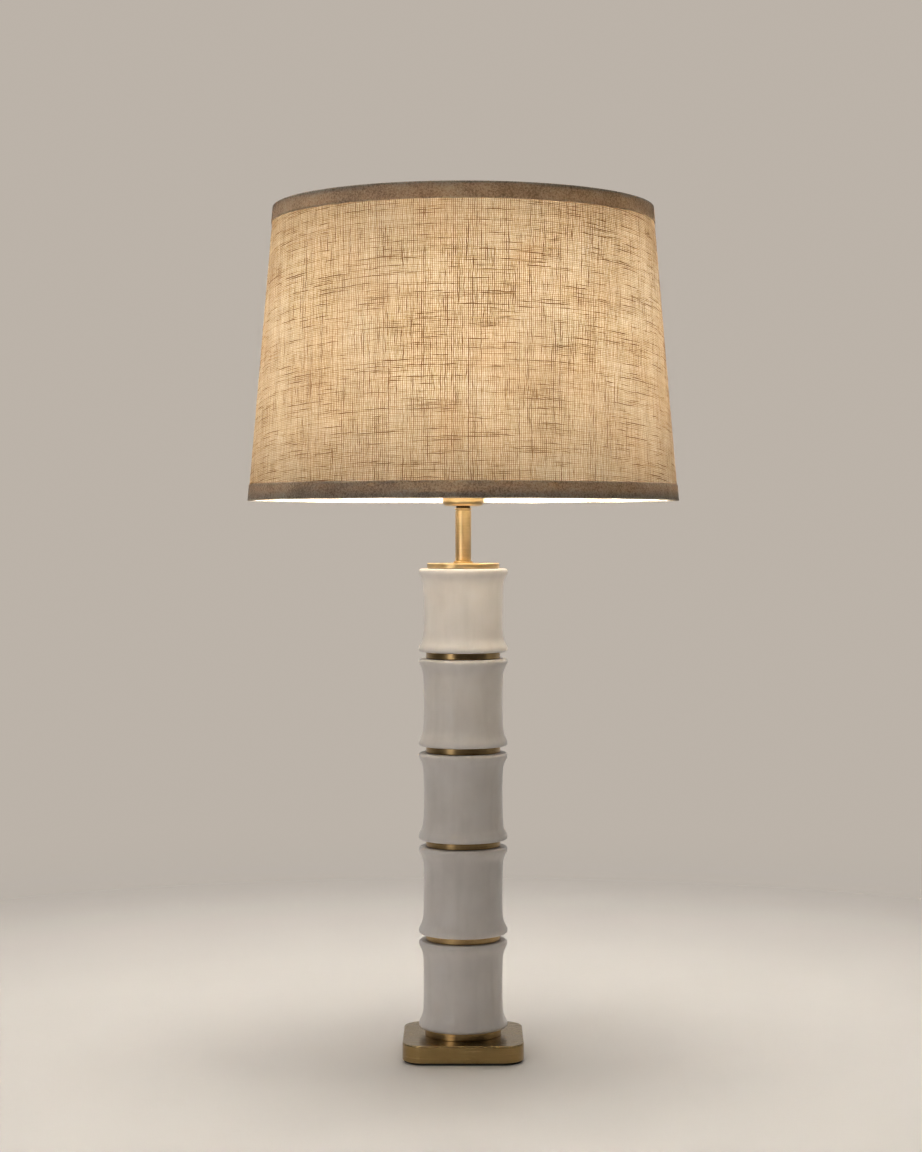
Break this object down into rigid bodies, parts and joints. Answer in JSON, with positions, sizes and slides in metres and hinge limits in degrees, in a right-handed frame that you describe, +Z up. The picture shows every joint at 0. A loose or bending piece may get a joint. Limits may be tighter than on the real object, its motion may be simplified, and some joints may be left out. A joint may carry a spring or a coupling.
{
  "type": "table lamp with shade",
  "caption": "Table lamp: stacked waisted ceramic segments on a square brass base, with a tapered linen drum shade on a harp.",
  "frame": {"origin": "centre of the base's underside, on the surface that the lamp stands on", "axes": "+Z up along the lamp's axis, -Y towards the viewer, +X to the viewer's right"},
  "size_m": [0.4063, 0.4064, 0.8071],
  "materials": {
    "antique_brass": "brushed antique",
    "satin_brass": "satin",
    "glazed_ceramic": "satin glaze",
    "linen": "coarse plain weave",
    "trim_tape": "woven tape",
    "white_liner": "matte",
    "plated_steel": "zinc plated",
    "cast_iron": "as cast",
    "rubber_pad": "matte",
    "gasket_rubber": "matte",
    "brown_plastic": "moulded",
    "black_plastic": "moulded",
    "white_plastic": "moulded",
    "fibre_sleeve": "pressed fibre",
    "lead_black": "sheathed",
    "lead_white": "sheathed",
    "cap_metal": "bright rolled",
    "led_board": "coated board",
    "bulb_diffuser": "opal, lit"
  },
  "bodies": {
    "lamp": {"base_pad": "rubber_pad", "base_plate": "antique_brass", "base_weight": "cast_iron", "cord_gland": "brown_plastic", "terminal_block": "white_plastic", "terminal_screws": "plated_steel", "pipe_nut": "plated_steel", "lock_washer": "plated_steel", "threaded_rod": "plated_steel", "lead_live": "lead_black", "lead_neutral": "lead_white", "base_ring": "antique_brass", "ceramic_1": "glazed_ceramic", "ceramic_2": "glazed_ceramic", "ceramic_3": "glazed_ceramic", "ceramic_4": "glazed_ceramic", "ceramic_5": "glazed_ceramic", "spacer_ring_1": "antique_brass", "spacer_ring_2": "antique_brass", "spacer_ring_3": "antique_brass", "spacer_ring_4": "antique_brass", "ring_gaskets": "gasket_rubber", "top_disc": "satin_brass", "neck_foot": "satin_brass", "neck_tube": "satin_brass", "neck_collar": "satin_brass", "check_washer": "antique_brass", "socket_cup": "satin_brass", "cup_nut": "plated_steel", "harp_saddle": "satin_brass", "harp_wire": "satin_brass", "harp_stud": "satin_brass", "socket_cap": "satin_brass", "socket_shell": "satin_brass", "socket_sleeve": "fibre_sleeve", "socket_body": "brown_plastic", "socket_screws": "plated_steel", "screw_shell": "satin_brass", "centre_contact": "satin_brass"},
    "ferrule_left": {"ferrule_left": "satin_brass"},
    "ferrule_right": {"ferrule_right": "satin_brass"},
    "switch": {"switch_shaft": "plated_steel", "switch_knob": "black_plastic"},
    "bulb_foot": {"bulb_tip": "cap_metal"},
    "bulb": {"bulb_insulator": "black_plastic", "bulb_cap": "cap_metal", "bulb_housing": "white_plastic", "led_board": "led_board", "bulb_diffuser": "bulb_diffuser"},
    "shade_seat": {"seat_washer": "satin_brass"},
    "shade": {"spider_fitter": "plated_steel", "top_ring": "plated_steel", "bottom_ring": "plated_steel", "shade_liner": "white_liner", "shade_linen": "linen", "top_trim": "trim_tape", "bottom_trim": "trim_tape"},
    "finial_seat": {"finial_washer": "satin_brass"},
    "finial": {"finial": "satin_brass"}
  },
  "joints": [
    {"name": "switch_turn", "type": "hinge", "parent": "lamp", "child": "switch", "pos_m": [0, -0.018, 0.5575], "axis": [0, -1, 0], "continuous": true},
    {"name": "ferrule_left_slide", "type": "slide", "parent": "lamp", "child": "ferrule_left", "axis": [0, 0, 1], "range_m": [0, 0.01]},
    {"name": "ferrule_right_slide", "type": "slide", "parent": "lamp", "child": "ferrule_right", "axis": [0, 0, 1], "range_m": [0, 0.01]},
    {"name": "bulb_rise", "type": "slide", "parent": "lamp", "child": "bulb_foot", "axis": [0, 0, 1], "range_m": [0, 0.0255]},
    {"name": "bulb_turn", "type": "hinge", "parent": "bulb_foot", "child": "bulb", "pos_m": [0, 0, 0.58], "axis": [0, 0, 1], "range_deg": [0, 2520]},
    {"name": "shade_lift", "type": "slide", "parent": "lamp", "child": "shade_seat", "axis": [0, 0, 1], "range_m": [0, 0.28]},
    {"name": "shade_swivel", "type": "hinge", "parent": "shade_seat", "child": "shade", "pos_m": [0, 0, 0.778], "axis": [0, 0, 1], "continuous": true},
    {"name": "finial_rise", "type": "slide", "parent": "shade", "child": "finial_seat", "axis": [0, 0, 1], "range_m": [0, 0.0106]},
    {"name": "finial_turn", "type": "hinge", "parent": "finial_seat", "child": "finial", "pos_m": [0, 0, 0.781], "axis": [0, 0, 1], "range_deg": [0, 4050]}
  ],
  "couplings": [
    {"joint": "bulb_rise", "follows": "bulb_turn", "m_per_rad": 0.0005776},
    {"joint": "finial_rise", "follows": "finial_turn", "m_per_rad": 0.0001497}
  ]
}
